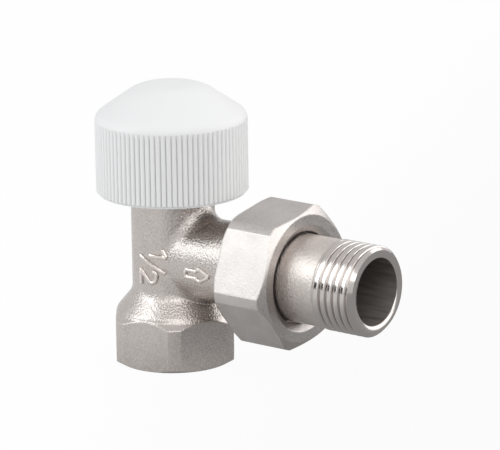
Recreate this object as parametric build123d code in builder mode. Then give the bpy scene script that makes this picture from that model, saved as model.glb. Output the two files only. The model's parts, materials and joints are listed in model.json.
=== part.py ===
"""Angled radiator valve with a hand cap, in millimetres.

The origin is the centre of the inlet's open face. +Z is the stem axis, up through the cap, and +X is the
direction of the outlet. Every piece stands where it sits in the open valve. Threads are plain cylinders at their
major radius, with a running gap between the two halves.
"""
import os
from math import radians, sqrt, tan

from build123d import *

os.makedirs("parts", exist_ok=True)

# Running gap of threads and guides, small gap of pieces that stay put, and the lead-in chamfer of threads
RUN = 0.05
SNUG = 0.02
LEAD = 0.5

# Inlet hexagon with its socket
HEX_AF = 27.0
HEX_TURN = 7.8
HEX_CORNER_CUT = 0.8
HEX_FOOT_CUT = 0.3
HEX_FOOT_RISE = 0.95
HEX_EDGE_Z = 10.4
SOCKET_R = 10.45
SOCKET_DEPTH = 12.5

# Seat, valve chamber and the bore of the branch
SEAT_BORE_R = 5.2
SEAT_BORE_LENGTH = 5.5
SEAT_FUNNEL = 1.6
SEAT_RIM = 1.0
SEAT_RISE = 0.9
CHAMBER_R = 7.0
BRANCH_BORE_R = 6.6

# Shoulder, neck and the threaded collar inside the cap
OUTLET_Z = 25.0
SHOULDER_SET = 0.05
SHOULDER_LEAN = 0.3
SHOULDER_RISE = 0.86
SHOULDER_ROOT_ROUND = 1.2
SHOULDER_ROUND = 2.0
SHOULDER_SLOPE_H = 4.2
NECK_R = 9.65
NECK_FOOT_ROUND = 4.0
NECK_ABOVE_OUTLET = 13.6
COLLAR_R = 15.0
COLLAR_FLARE_H = 3.0
COLLAR_H = 7.9
COLLAR_LEAD = 0.8

# Outlet branch, slightly oval, and the threaded spigot inside the nut
BRANCH_SET = 0.85
BRANCH_OVAL = 0.7
BRANCH_FLARE = 0.4
BRANCH_BLEND = 3.8
SPIGOT_R = 13.2
SPIGOT_X = 24.8
SPIGOT_FLARE = 1.2
SPIGOT_LENGTH = 5.0
SPIGOT_LEAD = 0.8

# Thread and seal land for the insert
INSERT_LAND_R = 7.5
INSERT_LAND_ABOVE_OUTLET = 8.5
INSERT_LAND_H = 4.0
INSERT_THREAD_R = 8.0

# Tailpiece with its flat seal
SEAL_THICK = 1.5
TAIL_COLLAR_H = 2.6
TAIL_COLLAR_GAP = 0.5
TAIL_BORE_R = 7.66
TAIL_SHANK_R = 10.1
TAIL_THREAD_R = 10.35
TAIL_THREAD_LENGTH = 10.5
TAIL_END_CHAMFER = 0.9
TAIL_REACH = 19.9

# Union nut
NUT_AF = 30.0
NUT_TURN = 9.4
NUT_CORNER_CUT = 0.65
NUT_BACK_LAND = 0.6
NUT_FRONT_CUT = 0.4
NUT_CHAMFER_DEG = 30.0
NUT_OVERHANG = 0.6
NUT_WEB = 4.2
NUT_WEB_GAP = 0.3
NUT_MOUTH_R = 12.2
NUT_MOUTH_DEPTH = 1.0

# Insert with its gland, and the pin through it
INSERT_FLANGE_AF = 19.0
INSERT_FLANGE_H = 3.5
INSERT_BOSS_R = 7.0
INSERT_BOSS_H = 2.0
O_RING_SECTION = 1.5
O_RING_ROOM = 0.1
SPRING_ROOM_R = 4.9
GLAND_R = 4.0
GLAND_DEPTH = 6.4
GLAND_FLOOR_H = 2.2
GLAND_WASHER_H = 0.6
GLAND_SEAL_WIDTH = 0.6
GLAND_SEAL_H = 1.1
GLAND_HEAD_AF = 10.0
GLAND_HEAD_H = 2.2
PIN_R = 1.5
PIN_TIP = 0.3
PIN_SPARE = 0.7

# Stem with its disc, spring and clip
LIFT = 2.5
SPINDLE_R = 2.5
SPINDLE_HEADROOM = 0.4
SPINDLE_NOSE = 3.0
STUD_R = 1.5
DISC_SEAL_H = 2.0
HOLDER_H = 1.5
HOLDER_LIP = 0.6
HOLDER_GAP = 0.3
WASHER_RIM = 1.9
WASHER_H = 0.6
DISC_NUT_AF = 5.0
DISC_NUT_H = 1.8
BUSH_H = 2.0
SPRING_R = 3.9
SPRING_WIRE_R = 0.4
SPRING_TURNS = 5
SPRING_COLLAR_RIM = 0.7
SPRING_COLLAR_H = 1.0
CLIP_H = 0.6
CLIP_GROOVE = 0.4
CLIP_RIM = 1.0
CLIP_MOUTH = 3.4

# Cap
CAP_R = 17.5
CAP_RIM_DROP = 1.8
CAP_RIM_BAND = 0.6
CAP_DOME_H = 7.0
CAP_TOP_R = 7.5
CAP_EDGE_ROUND = 2.5
CAP_TOP_ROUND = 10.0
CAP_RIBS = 88
CAP_RIB_R = 0.55
CAP_RIB_LAND = 0.06
CAP_RIB_END = 1.0
CAP_RIB_RUN_OUT = 1.4
CAP_HOLLOW_R = 12.2
CAP_HOLLOW_SET = 1.7
CAP_WALL = 2.6
CAP_BOSS_R = 3.6
CAP_BOSS_H = 2.0
CAP_SPARE = 1.0

# Heights that follow from these, from the inlet up
HEX_CORNER_R = HEX_AF / sqrt(3) - HEX_CORNER_CUT
SHOULDER_R = HEX_AF / 2 - SHOULDER_SET
SHOULDER_TOP_R = SHOULDER_R - SHOULDER_LEAN
HEX_TOP_Z = HEX_EDGE_Z + HEX_CORNER_R - SHOULDER_R
SHOULDER_Z = HEX_TOP_Z + SHOULDER_RISE
NECK_FOOT_Z = SHOULDER_Z + SHOULDER_SLOPE_H
SEAT_Z = SOCKET_DEPTH + SEAT_BORE_LENGTH
NECK_TOP_Z = OUTLET_Z + NECK_ABOVE_OUTLET
COLLAR_Z = NECK_TOP_Z + COLLAR_FLARE_H
COLLAR_TOP_Z = COLLAR_Z + COLLAR_H
INSERT_LAND_Z = OUTLET_Z + INSERT_LAND_ABOVE_OUTLET
INSERT_THREAD_Z = INSERT_LAND_Z + INSERT_LAND_H
FLANGE_TOP_Z = COLLAR_TOP_Z + INSERT_FLANGE_H
INSERT_TOP_Z = FLANGE_TOP_Z + INSERT_BOSS_H
GLAND_FLOOR_Z = INSERT_TOP_Z - GLAND_DEPTH
SPRING_ROOM_TOP_Z = GLAND_FLOOR_Z - GLAND_FLOOR_H
SPINDLE_TOP_Z = SPRING_ROOM_TOP_Z - SPINDLE_HEADROOM
PIN_TOP_Z = INSERT_TOP_Z + GLAND_HEAD_H + LIFT + PIN_SPARE
CAP_RIM_Z = COLLAR_Z - CAP_RIM_DROP
CAP_TOP_Z = PIN_TOP_Z + CAP_BOSS_H + CAP_WALL
CAP_EDGE_Z = CAP_TOP_Z - CAP_DOME_H

# The branch's oval, which stays narrower than the neck, and places along the outlet
BRANCH_HALF_WIDTH = NECK_R - BRANCH_SET
BRANCH_HALF_HEIGHT = BRANCH_HALF_WIDTH + BRANCH_OVAL
NUT_BACK_X = SPIGOT_X - NUT_OVERHANG
SPIGOT_END_X = SPIGOT_X + SPIGOT_LENGTH
TAIL_BACK_X = SPIGOT_END_X + SEAL_THICK
WEB_X = TAIL_BACK_X + TAIL_COLLAR_H
NUT_FRONT_X = WEB_X + NUT_WEB
TAIL_END_X = NUT_FRONT_X + TAIL_REACH
OUTLET_AXIS = Axis((0, 0, OUTLET_Z), (1, 0, 0))
OUTLET_PLANE = Plane(origin=(0, 0, OUTLET_Z), x_dir=(0, 1, 0), z_dir=(1, 0, 0))


def stem_outline(*corners):
    """Closed outline beside the stem axis, from corners (radius, height)."""
    with BuildSketch(Plane.XZ) as outline:
        with BuildLine():
            Polyline(*corners, close=True)
        make_face()
    return outline.sketch


def outlet_outline(*corners):
    """Closed outline beside the outlet axis, from corners (x, radius)."""
    return stem_outline(*[(x, OUTLET_Z + radius) for x, radius in corners])


# Forged body
with BuildPart() as valve_body:
    # Oval outlet branch and round neck, blended where they meet
    with BuildSketch(OUTLET_PLANE):
        Ellipse(BRANCH_HALF_WIDTH, BRANCH_HALF_HEIGHT)
    with BuildSketch(OUTLET_PLANE.offset(SPIGOT_X)):
        Ellipse(BRANCH_HALF_WIDTH + BRANCH_FLARE, BRANCH_HALF_HEIGHT + BRANCH_FLARE)
    loft()
    revolve(stem_outline(
        (0, HEX_EDGE_Z),
        (NECK_R, HEX_EDGE_Z),
        (NECK_R, COLLAR_Z),
        (0, COLLAR_Z),
    ), axis=Axis.Z)
    plain = (GeomType.CIRCLE, GeomType.LINE)
    round_neck = valve_body.edges().filter_by_position(Axis.X, 0, NECK_R)
    fillet([edge for edge in round_neck if edge.geom_type not in plain], BRANCH_BLEND)
    # Inlet foot and shoulder, turned as one, with six flats cut on the foot
    with BuildSketch(Plane.XZ) as foot:
        with BuildLine():
            Polyline(
                (0, 0),
                (HEX_AF / 2 - HEX_FOOT_CUT, 0),
                (HEX_CORNER_R, HEX_FOOT_RISE),
                (HEX_CORNER_R, HEX_EDGE_Z),
                (SHOULDER_R, HEX_TOP_Z),
                (SHOULDER_TOP_R, SHOULDER_Z),
                (NECK_R, NECK_FOOT_Z),
                (NECK_R, OUTLET_Z),
                (0, OUTLET_Z),
                close=True,
            )
        make_face()
        fillet(foot.vertices().sort_by_distance((SHOULDER_R, HEX_TOP_Z))[0], SHOULDER_ROOT_ROUND)
        fillet(foot.vertices().sort_by_distance((SHOULDER_TOP_R, SHOULDER_Z))[0], SHOULDER_ROUND)
        fillet(foot.vertices().sort_by_distance((NECK_R, NECK_FOOT_Z))[0], NECK_FOOT_ROUND)
    revolve(axis=Axis.Z)
    with BuildSketch(Plane.XY):
        Circle(HEX_AF)
        RegularPolygon(HEX_AF / 2, 6, major_radius=False, rotation=HEX_TURN, mode=Mode.SUBTRACT)
    extrude(amount=HEX_TOP_Z, mode=Mode.SUBTRACT)
    # Collar that the cap screws on, flared out from the neck
    revolve(stem_outline(
        (0, NECK_TOP_Z),
        (NECK_R, NECK_TOP_Z),
        (COLLAR_R - LEAD, COLLAR_Z),
        (COLLAR_R, COLLAR_Z + LEAD),
        (COLLAR_R, COLLAR_TOP_Z - COLLAR_LEAD),
        (COLLAR_R - COLLAR_LEAD, COLLAR_TOP_Z),
        (0, COLLAR_TOP_Z),
    ), axis=Axis.Z)
    # Spigot that the nut screws on
    revolve(outlet_outline(
        (SPIGOT_X - SPIGOT_FLARE, 0),
        (SPIGOT_X - SPIGOT_FLARE, BRANCH_HALF_WIDTH),
        (SPIGOT_X, SPIGOT_R),
        (SPIGOT_END_X - SPIGOT_LEAD, SPIGOT_R),
        (SPIGOT_END_X, SPIGOT_R - SPIGOT_LEAD),
        (SPIGOT_END_X, 0),
    ), axis=OUTLET_AXIS)
    # Inlet socket and the bore up to the seat
    revolve(stem_outline(
        (0, 0),
        (SOCKET_R + LEAD, 0),
        (SOCKET_R, LEAD),
        (SOCKET_R, SOCKET_DEPTH),
        (SEAT_BORE_R + SEAT_FUNNEL, SOCKET_DEPTH),
        (SEAT_BORE_R, SOCKET_DEPTH + SEAT_FUNNEL),
        (SEAT_BORE_R, SEAT_Z),
        (0, SEAT_Z),
    ), axis=Axis.Z, mode=Mode.SUBTRACT)
    # Chamber round the raised seat, and the land and thread for the insert
    revolve(stem_outline(
        (0, SEAT_Z),
        (SEAT_BORE_R + SEAT_RIM, SEAT_Z),
        (SEAT_BORE_R + SEAT_RIM, SEAT_Z - SEAT_RISE),
        (CHAMBER_R, SEAT_Z - SEAT_RISE),
        (CHAMBER_R, INSERT_LAND_Z - LEAD),
        (INSERT_LAND_R, INSERT_LAND_Z),
        (INSERT_LAND_R, INSERT_THREAD_Z),
        (INSERT_THREAD_R, INSERT_THREAD_Z),
        (INSERT_THREAD_R, COLLAR_TOP_Z),
        (0, COLLAR_TOP_Z),
    ), axis=Axis.Z, mode=Mode.SUBTRACT)
    # Waterway of the branch
    revolve(outlet_outline(
        (0, 0),
        (0, BRANCH_BORE_R),
        (SPIGOT_X - SPIGOT_FLARE, BRANCH_BORE_R),
        (SPIGOT_X, TAIL_BORE_R),
        (SPIGOT_END_X, TAIL_BORE_R),
        (SPIGOT_END_X, 0),
    ), axis=OUTLET_AXIS, mode=Mode.SUBTRACT)
valve_body.part.label = "valve_body"
export_step(valve_body.part, "parts/valve_body.step")

# Flat seal between the spigot and the tailpiece's collar
with BuildPart() as tail_seal:
    revolve(outlet_outline(
        (SPIGOT_END_X, TAIL_BORE_R),
        (SPIGOT_END_X, SPIGOT_R - SPIGOT_LEAD),
        (TAIL_BACK_X, SPIGOT_R - SPIGOT_LEAD),
        (TAIL_BACK_X, TAIL_BORE_R),
    ), axis=OUTLET_AXIS)
tail_seal.part.label = "tail_seal"
export_step(tail_seal.part, "parts/tail_seal.step")

# Tailpiece: collar held by the nut, plain shank and pipe thread
THREAD_START_X = TAIL_END_X - TAIL_THREAD_LENGTH
with BuildPart() as tailpiece:
    revolve(outlet_outline(
        (TAIL_BACK_X, TAIL_BORE_R),
        (TAIL_BACK_X, SPIGOT_R - TAIL_COLLAR_GAP),
        (WEB_X, SPIGOT_R - TAIL_COLLAR_GAP),
        (WEB_X, TAIL_SHANK_R),
        (THREAD_START_X - TAIL_THREAD_R + TAIL_SHANK_R, TAIL_SHANK_R),
        (THREAD_START_X, TAIL_THREAD_R),
        (TAIL_END_X - TAIL_END_CHAMFER, TAIL_THREAD_R),
        (TAIL_END_X, TAIL_THREAD_R - TAIL_END_CHAMFER),
        (TAIL_END_X, TAIL_BORE_R),
    ), axis=OUTLET_AXIS)
tailpiece.part.label = "tailpiece"
export_step(tailpiece.part, "parts/tailpiece.step")

# Union nut: turned blank with both ends chamfered, six flats, threaded bore and a turned mouth
NUT_CORNER_R = NUT_AF / sqrt(3) - NUT_CORNER_CUT
NUT_BACK_R = NUT_AF / 2 + NUT_BACK_LAND
NUT_FRONT_R = NUT_AF / 2 - NUT_FRONT_CUT
NUT_SLOPE = tan(radians(NUT_CHAMFER_DEG))
with BuildPart() as union_nut:
    revolve(outlet_outline(
        (NUT_BACK_X, 0),
        (NUT_BACK_X, NUT_BACK_R),
        (NUT_BACK_X + NUT_SLOPE * (NUT_CORNER_R - NUT_BACK_R), NUT_CORNER_R),
        (NUT_FRONT_X - NUT_SLOPE * (NUT_CORNER_R - NUT_FRONT_R), NUT_CORNER_R),
        (NUT_FRONT_X, NUT_FRONT_R),
        (NUT_FRONT_X, 0),
    ), axis=OUTLET_AXIS)
    with BuildSketch(OUTLET_PLANE):
        RegularPolygon(NUT_AF / 2, 6, major_radius=False, rotation=NUT_TURN)
    extrude(amount=TAIL_END_X, mode=Mode.INTERSECT)
    revolve(outlet_outline(
        (NUT_BACK_X, 0),
        (NUT_BACK_X, SPIGOT_R + RUN + LEAD),
        (NUT_BACK_X + LEAD, SPIGOT_R + RUN),
        (WEB_X, SPIGOT_R + RUN),
        (WEB_X, TAIL_THREAD_R + NUT_WEB_GAP),
        (NUT_FRONT_X - NUT_MOUTH_DEPTH, TAIL_THREAD_R + NUT_WEB_GAP),
        (NUT_FRONT_X, NUT_MOUTH_R),
        (NUT_FRONT_X, 0),
    ), axis=OUTLET_AXIS, mode=Mode.SUBTRACT)
union_nut.part.label = "union_nut"
export_step(union_nut.part, "parts/union_nut.step")

# Cap: skirt with ribs that run out under a smooth cone, threaded inside, with a boss over the pin
CAP_ROOT_R = CAP_R - CAP_RIB_R
CAP_RIB_TOP_Z = CAP_EDGE_Z - CAP_RIB_END
with BuildPart() as protective_cap:
    with BuildSketch(Plane.XY.offset(CAP_RIM_Z)):
        Circle(CAP_ROOT_R)
        with PolarLocations(CAP_ROOT_R + CAP_RIB_LAND, CAP_RIBS):
            Circle(CAP_RIB_R)
    extrude(amount=CAP_TOP_Z - CAP_RIM_Z)
    revolve(stem_outline(
        (0, CAP_RIB_TOP_Z - CAP_RIB_RUN_OUT),
        (CAP_ROOT_R - SNUG, CAP_RIB_TOP_Z - CAP_RIB_RUN_OUT),
        (CAP_R, CAP_RIB_TOP_Z),
        (CAP_R, CAP_TOP_Z),
        (0, CAP_TOP_Z),
    ), axis=Axis.Z)
    with BuildSketch(Plane.XZ) as cap_form:
        with BuildLine():
            Polyline(
                (0, CAP_RIM_Z),
                (CAP_ROOT_R - SNUG, CAP_RIM_Z),
                (CAP_ROOT_R - SNUG, CAP_RIM_Z + CAP_RIM_BAND),
                (CAP_R, CAP_RIM_Z + CAP_RIM_BAND),
                (CAP_R, CAP_EDGE_Z),
                (CAP_TOP_R, CAP_TOP_Z),
                (0, CAP_TOP_Z),
                close=True,
            )
        make_face()
        fillet(cap_form.vertices().sort_by_distance((CAP_R, CAP_EDGE_Z))[0], CAP_EDGE_ROUND)
        fillet(cap_form.vertices().sort_by_distance((CAP_TOP_R, CAP_TOP_Z))[0], CAP_TOP_ROUND)
    revolve(axis=Axis.Z, mode=Mode.INTERSECT)
    revolve(stem_outline(
        (0, CAP_RIM_Z),
        (COLLAR_R + RUN + LEAD, CAP_RIM_Z),
        (COLLAR_R + RUN, CAP_RIM_Z + LEAD),
        (COLLAR_R + RUN, COLLAR_TOP_Z + LIFT + CAP_SPARE),
        (CAP_HOLLOW_R, COLLAR_TOP_Z + LIFT + CAP_SPARE),
        (CAP_HOLLOW_R, CAP_EDGE_Z - CAP_HOLLOW_SET),
        (CAP_BOSS_R + CAP_BOSS_H, CAP_TOP_Z - CAP_WALL),
        (CAP_BOSS_R, CAP_TOP_Z - CAP_WALL),
        (CAP_BOSS_R, PIN_TOP_Z),
        (0, PIN_TOP_Z),
    ), axis=Axis.Z, mode=Mode.SUBTRACT)
protective_cap.part.label = "protective_cap"
export_step(protective_cap.part, "parts/protective_cap.step")

# Insert screwed into the neck: grooved seal land, thread, hexagon flange and gland boss
GROOVE_Z = INSERT_LAND_Z + INSERT_LAND_H / 2
GROOVE_HALF = O_RING_SECTION / 2 + O_RING_ROOM
GROOVE_R = INSERT_LAND_R - O_RING_SECTION
with BuildPart() as insert_housing:
    revolve(stem_outline(
        (0, INSERT_LAND_Z),
        (INSERT_LAND_R - RUN, INSERT_LAND_Z),
        (INSERT_LAND_R - RUN, GROOVE_Z - GROOVE_HALF),
        (GROOVE_R, GROOVE_Z - GROOVE_HALF),
        (GROOVE_R, GROOVE_Z + GROOVE_HALF),
        (INSERT_LAND_R - RUN, GROOVE_Z + GROOVE_HALF),
        (INSERT_LAND_R - RUN, INSERT_THREAD_Z + RUN),
        (INSERT_THREAD_R - SNUG, INSERT_THREAD_Z + RUN),
        (INSERT_THREAD_R - SNUG, COLLAR_TOP_Z),
        (0, COLLAR_TOP_Z),
    ), axis=Axis.Z)
    with BuildSketch(Plane.XY.offset(COLLAR_TOP_Z)):
        RegularPolygon(INSERT_FLANGE_AF / 2, 6, major_radius=False)
    extrude(amount=INSERT_FLANGE_H)
    with BuildSketch(Plane.XY.offset(FLANGE_TOP_Z)):
        Circle(INSERT_BOSS_R)
    extrude(amount=INSERT_BOSS_H)
    revolve(stem_outline(
        (0, INSERT_LAND_Z),
        (SPRING_ROOM_R, INSERT_LAND_Z),
        (SPRING_ROOM_R, SPRING_ROOM_TOP_Z),
        (PIN_R + RUN, SPRING_ROOM_TOP_Z),
        (PIN_R + RUN, GLAND_FLOOR_Z),
        (GLAND_R, GLAND_FLOOR_Z),
        (GLAND_R, INSERT_TOP_Z),
        (0, INSERT_TOP_Z),
    ), axis=Axis.Z, mode=Mode.SUBTRACT)
insert_housing.part.label = "insert_housing"
export_step(insert_housing.part, "parts/insert_housing.step")

# Ring that seals the insert in the neck
with BuildPart() as insert_o_ring:
    with BuildSketch(Plane.XZ):
        with Locations((INSERT_LAND_R - O_RING_SECTION / 2, GROOVE_Z)):
            Circle(O_RING_SECTION / 2 - SNUG)
    revolve(axis=Axis.Z)
insert_o_ring.part.label = "insert_o_ring"
export_step(insert_o_ring.part, "parts/insert_o_ring.step")

# Washer on the gland's floor
STEM_RING_Z = GLAND_FLOOR_Z + GLAND_WASHER_H
with BuildPart() as gland_washer:
    revolve(stem_outline(
        (PIN_R + RUN, GLAND_FLOOR_Z),
        (GLAND_R - SNUG, GLAND_FLOOR_Z),
        (GLAND_R - SNUG, STEM_RING_Z),
        (PIN_R + RUN, STEM_RING_Z),
    ), axis=Axis.Z)
gland_washer.part.label = "gland_washer"
export_step(gland_washer.part, "parts/gland_washer.step")

# Ring that seals the pin
STEM_RING_R = (GLAND_R - PIN_R) / 2 - RUN
with BuildPart() as stem_o_ring:
    with BuildSketch(Plane.XZ):
        with Locations(((PIN_R + GLAND_R) / 2, STEM_RING_Z + STEM_RING_R)):
            Circle(STEM_RING_R)
    revolve(axis=Axis.Z)
stem_o_ring.part.label = "stem_o_ring"
export_step(stem_o_ring.part, "parts/stem_o_ring.step")

# Gland nut with a recess for its own seal under the head
GLAND_NUT_Z = STEM_RING_Z + 2 * STEM_RING_R
GLAND_SEAL_Z = INSERT_TOP_Z - GLAND_SEAL_H
GLAND_NECK_R = GLAND_R - SNUG - GLAND_SEAL_WIDTH
with BuildPart() as gland_nut:
    revolve(stem_outline(
        (0, GLAND_NUT_Z),
        (GLAND_R - SNUG, GLAND_NUT_Z),
        (GLAND_R - SNUG, GLAND_SEAL_Z),
        (GLAND_NECK_R, GLAND_SEAL_Z),
        (GLAND_NECK_R, INSERT_TOP_Z),
        (0, INSERT_TOP_Z),
    ), axis=Axis.Z)
    with BuildSketch(Plane.XY.offset(INSERT_TOP_Z)):
        RegularPolygon(GLAND_HEAD_AF / 2, 6, major_radius=False)
    extrude(amount=GLAND_HEAD_H)
    with Locations((0, 0, INSERT_TOP_Z + GLAND_HEAD_H)):
        Hole(PIN_R + RUN)
gland_nut.part.label = "gland_nut"
export_step(gland_nut.part, "parts/gland_nut.step")

# Ring that seals the gland nut in the insert
with BuildPart() as gland_o_ring:
    revolve(stem_outline(
        (GLAND_NECK_R + SNUG, GLAND_SEAL_Z),
        (GLAND_R - SNUG, GLAND_SEAL_Z),
        (GLAND_R - SNUG, INSERT_TOP_Z),
        (GLAND_NECK_R + SNUG, INSERT_TOP_Z),
    ), axis=Axis.Z)
gland_o_ring.part.label = "gland_o_ring"
export_step(gland_o_ring.part, "parts/gland_o_ring.step")

# Pin from the cap's boss down to the spindle
with BuildPart() as pressure_pin:
    revolve(stem_outline(
        (0, SPINDLE_TOP_Z),
        (PIN_R, SPINDLE_TOP_Z),
        (PIN_R, PIN_TOP_Z - PIN_TIP),
        (PIN_R - PIN_TIP, PIN_TOP_Z),
        (0, PIN_TOP_Z),
    ), axis=Axis.Z)
pressure_pin.part.label = "pressure_pin"
export_step(pressure_pin.part, "parts/pressure_pin.step")

# Spindle with a stud for the disc at its foot and a groove for the clip
DISC_Z = SEAT_Z + LIFT
HOLDER_Z = DISC_Z + DISC_SEAL_H
SPINDLE_Z = HOLDER_Z + HOLDER_H
STUD_Z = DISC_Z - WASHER_H - DISC_NUT_H
SPRING_COLLAR_Z = SPINDLE_TOP_Z - SPINDLE_NOSE
CLIP_Z = SPRING_COLLAR_Z + SPRING_COLLAR_H
with BuildPart() as spindle:
    revolve(stem_outline(
        (0, STUD_Z),
        (STUD_R, STUD_Z),
        (STUD_R, SPINDLE_Z),
        (SPINDLE_R, SPINDLE_Z),
        (SPINDLE_R, CLIP_Z),
        (SPINDLE_R - CLIP_GROOVE, CLIP_Z),
        (SPINDLE_R - CLIP_GROOVE, CLIP_Z + CLIP_H),
        (SPINDLE_R, CLIP_Z + CLIP_H),
        (SPINDLE_R, SPINDLE_TOP_Z),
        (0, SPINDLE_TOP_Z),
    ), axis=Axis.Z)
spindle.part.label = "spindle"
export_step(spindle.part, "parts/spindle.step")

# Soft disc, lifted off the seat
HOLDER_R = CHAMBER_R - HOLDER_GAP
DISC_R = HOLDER_R - HOLDER_LIP
with BuildPart() as disc_seal:
    revolve(stem_outline(
        (STUD_R + SNUG, DISC_Z),
        (DISC_R - SNUG, DISC_Z),
        (DISC_R - SNUG, HOLDER_Z),
        (STUD_R + SNUG, HOLDER_Z),
    ), axis=Axis.Z)
disc_seal.part.label = "disc_seal"
export_step(disc_seal.part, "parts/disc_seal.step")

# Cup that backs the disc, its lip two thirds of the way down
LIP_Z = HOLDER_Z - DISC_SEAL_H * 2 / 3
with BuildPart() as disc_holder:
    revolve(stem_outline(
        (STUD_R + SNUG, HOLDER_Z),
        (DISC_R, HOLDER_Z),
        (DISC_R, LIP_Z),
        (HOLDER_R, LIP_Z),
        (HOLDER_R, SPINDLE_Z),
        (STUD_R + SNUG, SPINDLE_Z),
    ), axis=Axis.Z)
disc_holder.part.label = "disc_holder"
export_step(disc_holder.part, "parts/disc_holder.step")

# Washer and nut that clamp the disc
with BuildPart() as disc_washer:
    with BuildSketch(Plane.XY.offset(DISC_Z - WASHER_H)):
        Circle(STUD_R + WASHER_RIM)
        Circle(STUD_R + SNUG, mode=Mode.SUBTRACT)
    extrude(amount=WASHER_H)
disc_washer.part.label = "disc_washer"
export_step(disc_washer.part, "parts/disc_washer.step")

with BuildPart() as disc_nut:
    with BuildSketch(Plane.XY.offset(STUD_Z)):
        RegularPolygon(DISC_NUT_AF / 2, 6, major_radius=False)
        Circle(STUD_R + SNUG, mode=Mode.SUBTRACT)
    extrude(amount=DISC_NUT_H)
disc_nut.part.label = "disc_nut"
export_step(disc_nut.part, "parts/disc_nut.step")

# Guide bush in the insert's foot
BUSH_TOP_Z = INSERT_LAND_Z + BUSH_H
with BuildPart() as guide_bush:
    with BuildSketch(Plane.XY.offset(INSERT_LAND_Z)):
        Circle(SPRING_ROOM_R - SNUG)
        Circle(SPINDLE_R + RUN, mode=Mode.SUBTRACT)
    extrude(amount=BUSH_H)
guide_bush.part.label = "guide_bush"
export_step(guide_bush.part, "parts/guide_bush.step")

# Spring from the bush up to its collar
COIL_H = SPRING_COLLAR_Z - BUSH_TOP_Z - 2 * SPRING_WIRE_R
with BuildPart() as return_spring:
    with BuildLine() as coil:
        Helix(COIL_H / SPRING_TURNS, COIL_H, SPRING_R, center=(0, 0, BUSH_TOP_Z + SPRING_WIRE_R))
    with BuildSketch(Plane(origin=coil.line @ 0, z_dir=coil.line % 0)):
        RegularPolygon(SPRING_WIRE_R, 8)
    sweep(is_frenet=True)
return_spring.part.label = "return_spring"
export_step(return_spring.part, "parts/return_spring.step")

# Collar on the spindle that the spring pushes, and the open clip above it
with BuildPart() as spring_collar:
    with BuildSketch(Plane.XY.offset(SPRING_COLLAR_Z)):
        Circle(SPRING_R + SPRING_COLLAR_RIM)
        Circle(SPINDLE_R + SNUG, mode=Mode.SUBTRACT)
    extrude(amount=SPRING_COLLAR_H)
spring_collar.part.label = "spring_collar"
export_step(spring_collar.part, "parts/spring_collar.step")

CLIP_R = SPINDLE_R + CLIP_RIM
with BuildPart() as retaining_clip:
    with BuildSketch(Plane.XY.offset(CLIP_Z)):
        Circle(CLIP_R)
        Circle(SPINDLE_R - CLIP_GROOVE + SNUG, mode=Mode.SUBTRACT)
        with Locations((0, -CLIP_R)):
            Rectangle(CLIP_MOUTH, 2 * CLIP_R, mode=Mode.SUBTRACT)
    extrude(amount=CLIP_H)
retaining_clip.part.label = "retaining_clip"
export_step(retaining_clip.part, "parts/retaining_clip.step")
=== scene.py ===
"""Looks of the angled radiator valve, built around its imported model. Lengths are in metres.

The stem axis is Z through the origin. The outlet axis runs along +X at the height of the tailpiece's middle.
Azimuths are in degrees, counted from +X and seen from above.
"""

import json
import math

import bmesh
import bpy
from mathutils import Matrix, Vector
from mathutils.bvhtree import BVHTree


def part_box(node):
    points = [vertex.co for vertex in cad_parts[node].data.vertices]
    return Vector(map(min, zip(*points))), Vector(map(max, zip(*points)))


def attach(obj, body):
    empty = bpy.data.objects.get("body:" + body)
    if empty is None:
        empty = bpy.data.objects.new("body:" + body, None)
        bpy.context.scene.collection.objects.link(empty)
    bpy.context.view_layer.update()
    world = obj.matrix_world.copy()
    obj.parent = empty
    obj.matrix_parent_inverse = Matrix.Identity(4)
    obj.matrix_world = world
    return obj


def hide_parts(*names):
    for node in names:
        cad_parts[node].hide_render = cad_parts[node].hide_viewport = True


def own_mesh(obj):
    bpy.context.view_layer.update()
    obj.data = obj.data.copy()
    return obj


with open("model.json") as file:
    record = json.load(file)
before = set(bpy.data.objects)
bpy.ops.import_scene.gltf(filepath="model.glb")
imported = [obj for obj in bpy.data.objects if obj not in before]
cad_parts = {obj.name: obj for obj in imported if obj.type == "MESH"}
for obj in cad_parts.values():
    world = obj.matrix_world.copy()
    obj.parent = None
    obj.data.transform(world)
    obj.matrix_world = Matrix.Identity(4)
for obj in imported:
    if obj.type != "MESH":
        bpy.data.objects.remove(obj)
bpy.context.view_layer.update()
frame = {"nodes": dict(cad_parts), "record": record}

MM = 0.001
FULL_TURN = 2 * math.pi
WHITE = (1, 1, 1)

# Camera: from which side it looks, at what, and its lens
CAMERA_AZIMUTH = -51.9
CAMERA_ELEVATION = 15.0
CAMERA_ROLL = -0.9
CAMERA_DISTANCE = 0.920
CAMERA_ASIDE = 0.01765
CAMERA_HEIGHT = 0.0313
CAMERA_LENS = 288.0
CAMERA_SENSOR = 36.0
CAMERA_NEAR = 0.05

# Strength of the white surroundings as a lamp and in the metal; the camera sees them as plain white
WORLD_LIGHT = 0.68
WORLD_MIRRORED = 0.85

# Lamps face this point, and a dark strip stands under the left one
LAMP_AIM = Vector((0.02, 0, 0.03))
FLAG_AZIMUTH = -128
FLAG_ELEVATION = 5.3
FLAG_DISTANCE = 0.5
FLAG_WIDTH = 0.18
FLAG_HEIGHT = 0.128

# The floor's colour is bright towards one azimuth and greyer on the other side, a painted shade the metal
# mirrors
FLOOR_SIZE = 8.0
FLOOR_TOWARDS = -158
FLOOR_BRIGHT_FROM = 0.02
FLOOR_PAINTED_SHADE_FROM = -0.04
FLOOR_BRIGHT = 0.86
FLOOR_PAINTED_SHADE = 0.3

# How much of the floor is plain white to the camera and in the metal; the rest shows its light and shadow
FLOOR_WHITE_SHARE = 0.95
FLOOR_MIRRORED_SHARE = 0.15

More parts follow.
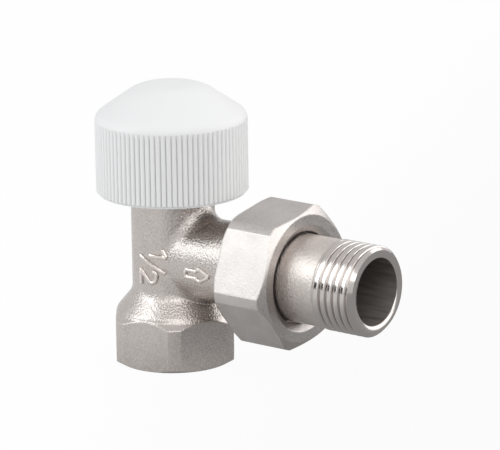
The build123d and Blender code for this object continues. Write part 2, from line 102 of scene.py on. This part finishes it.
# Tailpiece
TAIL_LOW, TAIL_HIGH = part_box("tailpiece")
OUTLET_Z = (TAIL_LOW.z + TAIL_HIGH.z) / 2
TAIL_BACK = TAIL_LOW.x
TAIL_END = TAIL_HIGH.x
TAIL_COLLAR_R = (TAIL_HIGH.z - TAIL_LOW.z) / 2
TAIL_COLLAR_H = 2.6 * MM
TAIL_BORE_R = 7.66 * MM
TAIL_SHANK_R = 10.1 * MM
TAIL_THREAD_R = 10.35 * MM
TAIL_THREAD_LENGTH = 10.5 * MM
TAIL_THREAD_START = TAIL_END - TAIL_THREAD_LENGTH
TAIL_END_CHAMFER = 0.9 * MM
TAIL_BORE_ROUND = 0.2 * MM

# Form of its thread, and the steps in which the mesh follows it round and along the axis
THREAD_PITCH = 1.814 * MM
THREAD_DEPTH = 0.7 * MM
THREAD_RUNOUT = 1.6 * MM
GROOVE_SHARE = 0.36
CREST_CROWN = 0.06
RING_STEPS = 288
THREAD_STEP = 0.075 * MM

# Threads in the socket and on the spigot are shaded with a bump of this height
THREAD_BUMP = 1.6 * MM

# Edges of the plated pieces look rounded by this radius, and a painted highlight makes their colour
# lighter by a factor. The two cosines, of the rounded normal with the flat one, say where the highlight
# is at its lightest and where it ends.
PLATE_EDGE = 0.4 * MM
EDGE_HIGHLIGHT_GAIN = 1.5
EDGE_HIGHLIGHT_PEAK = 0.88
EDGE_HIGHLIGHT_ENDS = 0.99
BEVEL_SAMPLES = 4

# Marks cast on the body's -Y side, as strokes of (x, z) in mm. The pipe size lies on its side, and the arrow
# shows the flow.
SIZE_MARK = [
    [(0.5, 26.7), (5.0, 26.4)],
    [(3.7, 28.4), (5.0, 26.4)],
    [(-2.2, 26.4), (4.6, 22.6)],
    [(1.4, 22.9), (2.1, 22.6), (2.4, 21.7), (2.1, 20.7), (1.3, 20.2), (0.4, 20.6), (-2.1, 23.2)],
    [(-2.1, 23.2), (-1.9, 19.4)],
]
FLOW_ARROW = [
    [(10.5, 24.8), (14.0, 24.8)],
    [(14.0, 24.8), (14.3, 25.6)],
    [(14.3, 25.6), (17.5, 24.0)],
    [(17.5, 24.0), (14.3, 22.3)],
    [(14.3, 22.3), (14.0, 23.0)],
    [(14.0, 23.0), (10.5, 23.0)],
    [(10.5, 23.0), (10.5, 24.8)],
]

# A stroke's size, the share of its height that sits in the body, how blunt its ends are as a share of its
# half width, the points across its rounded top and the step along it; and the y its places are cast from
MARK_HALF_WIDTH = 0.55 * MM
MARK_HEIGHT = 0.6 * MM
MARK_SINK = 0.1
MARK_BLUNT = 0.3
MARK_POINTS = 9
MARK_STEP = 0.12 * MM
MARK_CAST_FROM = -0.03

# Places on the body that its finish follows, and the margins of its shaded threads
HEX_TOP = 11.8 * MM
HEX_FADE = 0.5 * MM
SOCKET_DEPTH = 12.5 * MM
SOCKET_R = 10.45 * MM
SOCKET_MARGIN = 0.1 * MM
SOCKET_RUNOUT = 0.6 * MM
SPIGOT_START = 24.9 * MM


def direction(azimuth, elevation):
    """Unit vector towards an azimuth and an elevation."""
    turn, rise = math.radians(azimuth), math.radians(elevation)
    return Vector((math.cos(rise) * math.cos(turn), math.cos(rise) * math.sin(turn), math.sin(rise)))


def add_object(name, data):
    """Puts an object with this data into the scene."""
    piece = bpy.data.objects.new(name, data)
    bpy.context.scene.collection.objects.link(piece)
    return piece


def mesh_object(name, mesh):
    """Ends the editing of a mesh, with its faces turned outwards, and puts it into the scene."""
    bmesh.ops.recalc_face_normals(mesh, faces=mesh.faces)
    data = bpy.data.meshes.new(name)
    mesh.to_mesh(data)
    mesh.free()
    return add_object(name, data)


def add_node(tree, kind, inputs=None, **settings):
    """Adds a shader node, with its settings and with values or links for its inputs."""
    node = tree.nodes.new(kind)
    for name, value in settings.items():
        setattr(node, name, value)
    for name, value in (inputs or {}).items():
        if isinstance(value, bpy.types.NodeSocket):
            tree.links.new(value, node.inputs[name])
        else:
            node.inputs[name].default_value = value
    return node


def math_node(tree, operation, first, second=0.0):
    """One step of arithmetic on shader values."""
    return add_node(tree, "ShaderNodeMath", {0: first, 1: second}, operation=operation).outputs[0]


def new_material(name, metallic, color, roughness):
    """A Principled material with plain values, returned with its node tree and its shader."""
    material = bpy.data.materials.new(name)
    material.use_nodes = True
    shader = material.node_tree.nodes["Principled BSDF"]
    shader.inputs["Metallic"].default_value = metallic
    shader.inputs["Base Color"].default_value = (*color, 1)
    shader.inputs["Roughness"].default_value = roughness
    return material, material.node_tree, shader


def noise(tree, scale, detail=3.0, roughness=0.6, stretch=(1, 1, 1)):
    """Noise in the object's own coordinates, as a value from 0 to 1."""
    place = add_node(tree, "ShaderNodeTexCoord")
    spread = add_node(tree, "ShaderNodeMapping", {"Vector": place.outputs["Object"], "Scale": stretch})
    texture = add_node(tree, "ShaderNodeTexNoise", {
        "Vector": spread.outputs["Vector"], "Scale": scale, "Detail": detail, "Roughness": roughness,
    })
    return texture.outputs["Fac"]


def spread_value(tree, value, low, high, from_low=0.3, from_high=0.7):
    """Maps a value onto a range, by default from where most of a noise lies."""
    node = add_node(tree, "ShaderNodeMapRange", {
        "Value": value, "From Min": from_low, "From Max": from_high, "To Min": low, "To Max": high,
    })
    return node.outputs["Result"]


def color_between(tree, value, first, second):
    """Mixes two colours by a value."""
    mix = add_node(tree, "ShaderNodeMix", data_type="RGBA")
    tree.links.new(value, mix.inputs["Factor"])
    mix.inputs["A"].default_value = (*first, 1)
    mix.inputs["B"].default_value = (*second, 1)
    return mix.outputs["Result"]


def speckle(tree, grain, cloud, grain_share):
    """Fine grain mixed with broad clouds."""
    return math_node(tree, "ADD", math_node(tree, "MULTIPLY", grain, grain_share),
                     math_node(tree, "MULTIPLY", cloud, 1 - grain_share))


def rounded_bump(tree, shader, height, strength, distance, edge):
    """Bump over normals that are rounded at the edges by a small radius."""
    soft = add_node(tree, "ShaderNodeBevel", {"Radius": edge}, samples=BEVEL_SAMPLES)
    bump = add_node(tree, "ShaderNodeBump", {
        "Strength": strength, "Distance": distance, "Height": height, "Normal": soft.outputs["Normal"],
    })
    tree.links.new(bump.outputs["Normal"], shader.inputs["Normal"])
    return bump


def painted_edge_highlight(tree, color):
    """Painted highlight: lightens a colour along the edges, where the rounded normal leaves the flat one."""
    soft = add_node(tree, "ShaderNodeBevel", {"Radius": PLATE_EDGE}, samples=BEVEL_SAMPLES)
    flat = add_node(tree, "ShaderNodeNewGeometry")
    alike = add_node(tree, "ShaderNodeVectorMath", {0: soft.outputs["Normal"], 1: flat.outputs["Normal"]},
                     operation="DOT_PRODUCT")
    # How much the painted highlight lightens the colour, by how far the rounded normal leaves the flat one
    light = spread_value(tree, alike.outputs["Value"], low=EDGE_HIGHLIGHT_GAIN, high=1.0,
                         from_low=EDGE_HIGHLIGHT_PEAK, from_high=EDGE_HIGHLIGHT_ENDS)
    scaled = add_node(tree, "ShaderNodeVectorMath", {0: color}, operation="SCALE")
    tree.links.new(light, scaled.inputs["Scale"])
    return scaled.outputs["Vector"]


def thread_bump(tree, along, across, upward, mask, below):
    """Bump of a screw thread along one axis, where the mask is 1, over the bump below."""
    turn = math_node(tree, "DIVIDE", math_node(tree, "ARCTAN2", across, upward), FULL_TURN)
    phase = math_node(tree, "ADD", math_node(tree, "DIVIDE", along, THREAD_PITCH), turn)
    height = math_node(tree, "PINGPONG", phase, 0.5)
    return add_node(tree, "ShaderNodeBump", {
        "Strength": mask, "Distance": THREAD_BUMP, "Height": height, "Normal": below.outputs["Normal"],
    })


def blasted_nickel(name, tone, smoothest, roughest, relief, threads):
    """Grainy warm-grey plate, smoother on the hexagon, with or without the body's shaded threads."""
    dark = [part * tone for part in (0.494, 0.453, 0.429)]
    light = [part * tone for part in (0.585, 0.539, 0.512)]
    material, tree, shader = new_material(name, 1.0, dark, (smoothest + roughest) / 2)
    place = add_node(tree, "ShaderNodeTexCoord")
    axes = add_node(tree, "ShaderNodeSeparateXYZ", {"Vector": place.outputs["Object"]})
    x, y, z = (axes.outputs[axis] for axis in "XYZ")
    blasted = spread_value(tree, z, low=0.18, high=1.0, from_low=HEX_TOP - HEX_FADE, from_high=HEX_TOP)
    grain = noise(tree, scale=1900.0, detail=2.0)
    cloud = noise(tree, scale=240.0, detail=4.0)
    mixed = speckle(tree, grain, cloud, grain_share=0.7)
    shade = spread_value(tree, mixed, 0, 1, from_low=0.36, from_high=0.62)
    # The colour gets a painted highlight along its edges
    color = painted_edge_highlight(tree, color_between(tree, shade, dark, light))
    tree.links.new(color, shader.inputs["Base Color"])
    tree.links.new(spread_value(tree, grain, smoothest, roughest), shader.inputs["Roughness"])
    rough = rounded_bump(tree, shader, grain, blasted, relief, PLATE_EDGE)
    if not threads:
        return material
    radius = math_node(tree, "SQRT", math_node(tree, "ADD", math_node(tree, "MULTIPLY", x, x),
                                               math_node(tree, "MULTIPLY", y, y)))
    in_socket = math_node(tree, "MULTIPLY", math_node(tree, "LESS_THAN", radius, SOCKET_R + SOCKET_MARGIN),
                          math_node(tree, "LESS_THAN", z, SOCKET_DEPTH - SOCKET_RUNOUT))
    on_spigot = math_node(tree, "GREATER_THAN", x, SPIGOT_START)
    socket = thread_bump(tree, z, y, x, in_socket, rough)
    spigot = thread_bump(tree, x, y, math_node(tree, "SUBTRACT", z, OUTLET_Z), on_spigot, socket)
    tree.links.new(spigot.outputs["Normal"], shader.inputs["Normal"])
    return material


def satin_nickel():
    """Finely grained plate of the nut, with softly rounded edges."""
    middle, dark, light = (0.53, 0.495, 0.475), (0.466, 0.435, 0.416), (0.563, 0.529, 0.508)
    material, tree, shader = new_material("nickel_satin_look", 1.0, middle, roughness=0.33)
    grain = noise(tree, scale=2300.0, detail=4.0)
    cloud = noise(tree, scale=220.0, detail=4.0)
    mixed = speckle(tree, grain, cloud, grain_share=0.6)
    shade = spread_value(tree, mixed, 0, 1, from_low=0.38, from_high=0.62)
    # The colour gets a painted highlight along its edges
    color = painted_edge_highlight(tree, color_between(tree, shade, dark, light))
    tree.links.new(color, shader.inputs["Base Color"])
    tree.links.new(spread_value(tree, grain, low=0.26, high=0.39), shader.inputs["Roughness"])
    rounded_bump(tree, shader, grain, strength=0.6, distance=0.07 * MM, edge=0.5 * MM)
    return material


def turned_nickel():
    """Bright cut metal of the thread."""
    color = (0.55, 0.512, 0.49)
    material, tree, shader = new_material("nickel_turned_look", 1.0, color, roughness=0.14)
    lines = noise(tree, scale=1500.0, stretch=(1, 0.15, 0.15))
    tree.links.new(spread_value(tree, lines, low=0.10, high=0.19), shader.inputs["Roughness"])
    bump = add_node(tree, "ShaderNodeBump", {"Strength": 0.08, "Distance": 0.03 * MM, "Height": lines})
    tree.links.new(bump.outputs["Normal"], shader.inputs["Normal"])
    return material


def painted_shade_bore():
    """Dull metal inside the tailpiece, painted near-black as the shade in the bore, with its own streaks."""
    # The near-black colours are painted shade inside the bore; the streaks are the metal's own
    middle, dark, light = (0.12, 0.105, 0.095), (0.085, 0.074, 0.067), (0.16, 0.142, 0.13)
    material, tree, shader = new_material("bore_painted_shade_look", 0.4, middle, roughness=0.5)
    streaks = noise(tree, scale=700.0, stretch=(0.12, 1, 1))
    color = color_between(tree, spread_value(tree, streaks, 0, 1), dark, light)
    tree.links.new(color, shader.inputs["Base Color"])
    tree.links.new(spread_value(tree, streaks, low=0.36, high=0.56), shader.inputs["Roughness"])
    return material


def turned_brass():
    """Bare brass of the inner pieces."""
    middle, dark, light = (0.62, 0.43, 0.17), (0.58, 0.40, 0.155), (0.66, 0.47, 0.2)
    material, tree, shader = new_material("brass_look", 1.0, middle, roughness=0.28)
    lines = noise(tree, scale=1600.0, stretch=(0.3, 0.3, 1))
    color = color_between(tree, spread_value(tree, lines, 0, 1), dark, light)
    tree.links.new(color, shader.inputs["Base Color"])
    tree.links.new(spread_value(tree, lines, low=0.22, high=0.36), shader.inputs["Roughness"])
    return material


def bright_steel():
    """Drawn steel of the spring, clip and pin."""
    material, tree, shader = new_material("steel_look", 1.0, color=(0.55, 0.56, 0.57), roughness=0.25)
    grain = noise(tree, scale=2200.0)
    tree.links.new(spread_value(tree, grain, low=0.2, high=0.34), shader.inputs["Roughness"])
    return material


def rubber(name, color):
    """Matt rubber or fibre."""
    material, tree, shader = new_material(name, 0.0, color, roughness=0.7)
    grain = noise(tree, scale=2400.0)
    tree.links.new(spread_value(tree, grain, low=0.6, high=0.82), shader.inputs["Roughness"])
    bump = add_node(tree, "ShaderNodeBump", {"Strength": 0.2, "Distance": 0.03 * MM, "Height": grain})
    tree.links.new(bump.outputs["Normal"], shader.inputs["Normal"])
    return material


def white_plastic(name, color):
    """Satin white plastic."""
    material, tree, shader = new_material(name, 0.0, color, roughness=0.45)
    grain = noise(tree, scale=1800.0)
    tree.links.new(spread_value(tree, grain, low=0.4, high=0.52), shader.inputs["Roughness"])
    rounded_bump(tree, shader, grain, strength=0.05, distance=0.02 * MM, edge=0.12 * MM)
    return material


def ring_mesh(name, sections):
    """Closed surface round the outlet axis. A section is (radius at an angle, x, sharp, material index)."""
    mesh = bmesh.new()
    rings = []
    for radius_at, x, _, _ in sections:
        ring = []
        for step in range(RING_STEPS):
            angle = FULL_TURN * step / RING_STEPS
            radius = radius_at(x, angle)
            place = (x, -radius * math.sin(angle), OUTLET_Z + radius * math.cos(angle))
            ring.append(mesh.verts.new(place))
        rings.append(ring)
    for index, (_, _, sharp, slot) in enumerate(sections):
        here, after = rings[index], rings[(index + 1) % len(rings)]
        for step in range(RING_STEPS):
            following = (step + 1) % RING_STEPS
            face = mesh.faces.new((here[step], after[step], after[following], here[following]))
            face.smooth = True
            face.material_index = slot
        if sharp:
            for step in range(RING_STEPS):
                mesh.edges.get((here[step], here[(step + 1) % RING_STEPS])).smooth = False
    return mesh_object(name, mesh)


def thread_height(turns):
    """Height of the thread's form, from 0 in the groove to 1 on the broad crest, for a place in turns."""
    from_groove = abs((turns % 1.0) - 0.5) * 2
    flank = min(from_groove / GROOVE_SHARE, 1.0)
    crown = max(from_groove - GROOVE_SHARE, 0.0) / (1 - GROOVE_SHARE)
    return (1 - CREST_CROWN) * flank + CREST_CROWN * crown * (2 - crown)


def thread_radius(x, angle):
    """Radius of the tailpiece along its thread."""
    height = thread_height(x / THREAD_PITCH + angle / FULL_TURN)
    depth = THREAD_DEPTH * min(max((x - TAIL_THREAD_START) / THREAD_RUNOUT, 0.0), 1.0)
    radius = TAIL_THREAD_R - depth * (1 - height)
    return min(radius, TAIL_THREAD_R - TAIL_END_CHAMFER + (TAIL_END - x))


def plain(radius):
    """A radius that is the same all round."""
    return lambda x, angle: radius


def threaded_tailpiece(materials):
    """Tailpiece with its cut thread, in place of the plain one."""
    shank, cut, bore = range(3)
    step_in = TAIL_THREAD_R - TAIL_SHANK_R
    sections = [
        (plain(TAIL_BORE_R), TAIL_BACK, True, shank),
        (plain(TAIL_COLLAR_R), TAIL_BACK, True, shank),
        (plain(TAIL_COLLAR_R), TAIL_BACK + TAIL_COLLAR_H, True, shank),
        (plain(TAIL_SHANK_R), TAIL_BACK + TAIL_COLLAR_H, True, shank),
        (plain(TAIL_SHANK_R), TAIL_THREAD_START - step_in, True, cut),
    ]
    reach = TAIL_END - TAIL_THREAD_START
    thread_steps = round(reach / THREAD_STEP)
    for step in range(thread_steps + 1):
        x = TAIL_THREAD_START + reach * step / thread_steps
        sections.append((thread_radius, x, step == thread_steps, cut))
    sections += [
        (plain(TAIL_BORE_R + TAIL_BORE_ROUND), TAIL_END, False, cut),
        (plain(TAIL_BORE_R), TAIL_END - TAIL_BORE_ROUND, False, bore),
    ]
    piece = ring_mesh("threaded_tailpiece", sections)
    for material in materials:
        piece.data.materials.append(material)
    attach(piece, "tail")
    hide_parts("tailpiece")


def shortening_spring():
    """Copy of the return spring, attached to the body in place of the imported one."""
    solid = frame["nodes"]["return_spring"]
    data = solid.data.copy()
    data.transform(solid.matrix_world)
    piece = add_object("shortening_spring", data)
    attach(piece, "body")
    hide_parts("return_spring")
    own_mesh(piece)


def smooth_path(points):
    """Places along a stroke, a small step apart, on a Catmull-Rom curve through its points."""
    points = [Vector(point) * MM for point in points]
    ends = [2 * points[0] - points[1], *points, 2 * points[-1] - points[-2]]
    path = []
    for before, start, end, after in zip(ends, ends[1:], ends[2:], ends[3:]):
        steps = max(2, round((end - start).length / MARK_STEP))
        for step in range(steps):
            s = step / steps
            path.append(0.5 * (2 * start + s * (end - before)
                               + s * s * (2 * before - 5 * start + 4 * end - after)
                               + s * s * s * (3 * start - before - 3 * end + after)))
    return path + [points[-1]]


def cast_mark(name, strokes, material):
    """Raised round-topped strokes that follow the body's surface."""
    body = frame["nodes"]["valve_body"]
    surface = BVHTree.FromObject(body, bpy.context.evaluated_depsgraph_get())
    mesh = bmesh.new()
    for stroke in strokes:
        path = smooth_path(stroke)
        spots = [surface.ray_cast(Vector((x, MARK_CAST_FROM, z)), Vector((0, 1, 0)))[:2] for x, z in path]
        rings = []
        for index, (spot, normal) in enumerate(spots):
            ahead = spots[min(index + 1, len(spots) - 1)][0] - spots[max(index - 1, 0)][0]
            aside = ahead.normalized().cross(normal).normalized()
            to_end = min((spot - spots[0][0]).length, (spot - spots[-1][0]).length)
            share = min((to_end + MARK_BLUNT * MARK_HALF_WIDTH) / MARK_HALF_WIDTH, 1.0)
            swell = math.sqrt(1 - (1 - share) ** 2)
            ring = []
            for part in range(MARK_POINTS):
                angle = math.pi * part / (MARK_POINTS - 1)
                ring.append(mesh.verts.new(
                    spot + aside * (MARK_HALF_WIDTH * swell * math.cos(angle))
                    + normal * (MARK_HEIGHT * swell * math.sin(angle) - MARK_SINK * MARK_HEIGHT)))
            rings.append(ring)
        for here, after in zip(rings, rings[1:]):
            for part in range(MARK_POINTS):
                following = (part + 1) % MARK_POINTS
                mesh.faces.new((here[part], after[part], after[following], here[following]))
        mesh.faces.new(rings[0])
        mesh.faces.new(rings[-1])
    for face in mesh.faces:
        face.smooth = True
    piece = mesh_object(name, mesh)
    piece.data.materials.append(material)
    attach(piece, "body")


def mirrored_rays(tree, path):
    """1 for rays that come by way of metal or glass, and 0 for others."""
    return math_node(tree, "MAXIMUM", path.outputs["Is Glossy Ray"], path.outputs["Is Transmission Ray"])


def surroundings():
    """White surroundings, plain white to the camera and dimmer in the metal and as a lamp."""
    world = bpy.data.worlds.new("surroundings")
    bpy.context.scene.world = world
    world.use_nodes = True
    tree = world.node_tree
    tree.nodes.clear()
    path = add_node(tree, "ShaderNodeLightPath")
    seen = spread_value(tree, path.outputs["Is Camera Ray"], WORLD_LIGHT, 1.0, from_low=0.0, from_high=1.0)
    added = math_node(tree, "MULTIPLY", mirrored_rays(tree, path), WORLD_MIRRORED - WORLD_LIGHT)
    background = add_node(tree, "ShaderNodeBackground", {
        "Color": (*WHITE, 1), "Strength": math_node(tree, "ADD", seen, added),
    })
    output = add_node(tree, "ShaderNodeOutputWorld")
    tree.links.new(background.outputs[0], output.inputs["Surface"])


def pale_floor():
    """White floor that keeps a faint shadow, brighter on one side where it lights the object. On the other
    side its colour is greyer, as painted shade.
    """
    bpy.ops.mesh.primitive_plane_add(size=FLOOR_SIZE)
    floor = bpy.context.object
    floor.name = "floor"
    material = bpy.data.materials.new("floor_look")
    material.use_nodes = True
    tree = material.node_tree
    tree.nodes.clear()
    path = add_node(tree, "ShaderNodeLightPath")
    place = add_node(tree, "ShaderNodeTexCoord")
    along = add_node(tree, "ShaderNodeVectorMath", {
        0: place.outputs["Object"], 1: direction(FLOOR_TOWARDS, 0),
    }, operation="DOT_PRODUCT")
    # Painted shade: the floor's colour turns grey on the side away from FLOOR_TOWARDS
    shade = spread_value(tree, along.outputs["Value"], 0, 1, FLOOR_PAINTED_SHADE_FROM, FLOOR_BRIGHT_FROM)
    color = color_between(tree, shade, [FLOOR_PAINTED_SHADE] * 3, [FLOOR_BRIGHT] * 3)
    lit = add_node(tree, "ShaderNodeBsdfDiffuse", {"Color": color})
    white = add_node(tree, "ShaderNodeEmission", {"Color": (*WHITE, 1), "Strength": 1.0})
    seen = math_node(tree, "MULTIPLY", path.outputs["Is Camera Ray"], FLOOR_WHITE_SHARE)
    added = math_node(tree, "MULTIPLY", mirrored_rays(tree, path), FLOOR_MIRRORED_SHARE)
    mix = add_node(tree, "ShaderNodeMixShader", {
        0: math_node(tree, "ADD", seen, added), 1: lit.outputs[0], 2: white.outputs[0],
    })
    output = add_node(tree, "ShaderNodeOutputMaterial")
    tree.links.new(mix.outputs[0], output.inputs["Surface"])
    floor.data.materials.append(material)


def soft_lamp(name, azimuth, elevation, distance, width, height, power, color=WHITE):
    """A rectangular lamp that faces the object."""
    lamp = bpy.data.lights.new(name, "AREA")
    lamp.shape = "RECTANGLE"
    lamp.size = width
    lamp.size_y = height
    lamp.energy = power
    lamp.color = color
    holder = add_object(name, lamp)
    away = direction(azimuth, elevation)
    holder.location = LAMP_AIM + away * distance
    holder.rotation_euler = away.to_track_quat("Z", "Y").to_euler()


def dark_flag():
    """Dark strip between the floor and the left softbox. Only the metal mirrors it."""
    away = direction(FLAG_AZIMUTH, FLAG_ELEVATION)
    aside = Vector((0, 0, 1)).cross(away).normalized() * FLAG_WIDTH / 2
    upward = away.cross(aside).normalized() * FLAG_HEIGHT / 2
    middle = LAMP_AIM + away * FLAG_DISTANCE
    low, high = middle - upward, middle + upward
    data = bpy.data.meshes.new("dark_flag")
    data.from_pydata([low - aside, low + aside, high + aside, high - aside], [], [(0, 1, 2, 3)])
    material, _, _ = new_material("flag_look", 0.0, color=(0.02, 0.02, 0.02), roughness=0.9)
    data.materials.append(material)
    flag = add_object("dark_flag", data)
    flag.visible_camera = False
    flag.visible_diffuse = False


def photo_camera():
    """Camera at the photo's angle."""
    turn = math.radians(CAMERA_AZIMUTH)
    back = direction(CAMERA_AZIMUTH, CAMERA_ELEVATION)
    right = Vector((-math.sin(turn), math.cos(turn), 0))
    aim = right * CAMERA_ASIDE + Vector((0, 0, CAMERA_HEIGHT))
    lens = bpy.data.cameras.new("camera")
    lens.lens = CAMERA_LENS
    lens.sensor_width = CAMERA_SENSOR
    lens.clip_start = CAMERA_NEAR
    camera = add_object("camera", lens)
    level = back.to_track_quat("Z", "Y").to_matrix().to_4x4()
    roll = Matrix.Rotation(math.radians(CAMERA_ROLL), 4, "Z")
    camera.matrix_world = Matrix.Translation(aim + back * CAMERA_DISTANCE) @ level @ roll
    bpy.context.scene.camera = camera


LOOKS = {
    "nickel_blasted": blasted_nickel("nickel_blasted_look", tone=1.0, smoothest=0.2, roughest=0.3,
                                     relief=0.16 * MM, threads=True),
    "nickel_satin": satin_nickel(),
    "nickel_turned": turned_nickel(),
    "bare_brass": turned_brass(),
    "spring_steel": bright_steel(),
    "black_rubber": rubber("black_rubber_look", color=(0.022, 0.022, 0.022)),
    "fibre_seal": rubber("fibre_look", color=(0.08, 0.085, 0.08)),
    "cap_plastic": white_plastic("cap_look", color=(0.78, 0.78, 0.78)),
    "white_plastic": white_plastic("washer_look", color=(0.78, 0.78, 0.75)),
}
for subpart in frame["record"]["subparts"]:
    node = frame["nodes"][subpart["node"]]
    for slot in node.material_slots:
        slot.material = LOOKS[subpart["material_slot"]]

marks = blasted_nickel("marks_look", tone=1.3, smoothest=0.16, roughest=0.24,
                       relief=0.05 * MM, threads=False)
shank = blasted_nickel("shank_look", tone=1.15, smoothest=0.34, roughest=0.46,
                       relief=0.12 * MM, threads=False)
threaded_tailpiece([shank, LOOKS["nickel_turned"], painted_shade_bore()])
shortening_spring()
surroundings()
pale_floor()
cast_mark("size_mark", SIZE_MARK, marks)
cast_mark("flow_arrow", FLOW_ARROW, marks)
soft_lamp("left_softbox", azimuth=-130, elevation=28, distance=0.7, width=0.37, height=0.75, power=1.85,
          color=(0.93, 0.98, 1.0))
soft_lamp("front_softbox", azimuth=-45, elevation=38, distance=0.8, width=0.6, height=0.45, power=1.2)
soft_lamp("right_softbox", azimuth=4, elevation=18, distance=0.7, width=0.8, height=0.4, power=1.2)
soft_lamp("back_softbox", azimuth=52, elevation=20, distance=0.7, width=0.7, height=0.6, power=1.7)
dark_flag()
photo_camera()
bpy.context.scene.view_settings.view_transform = "Standard"
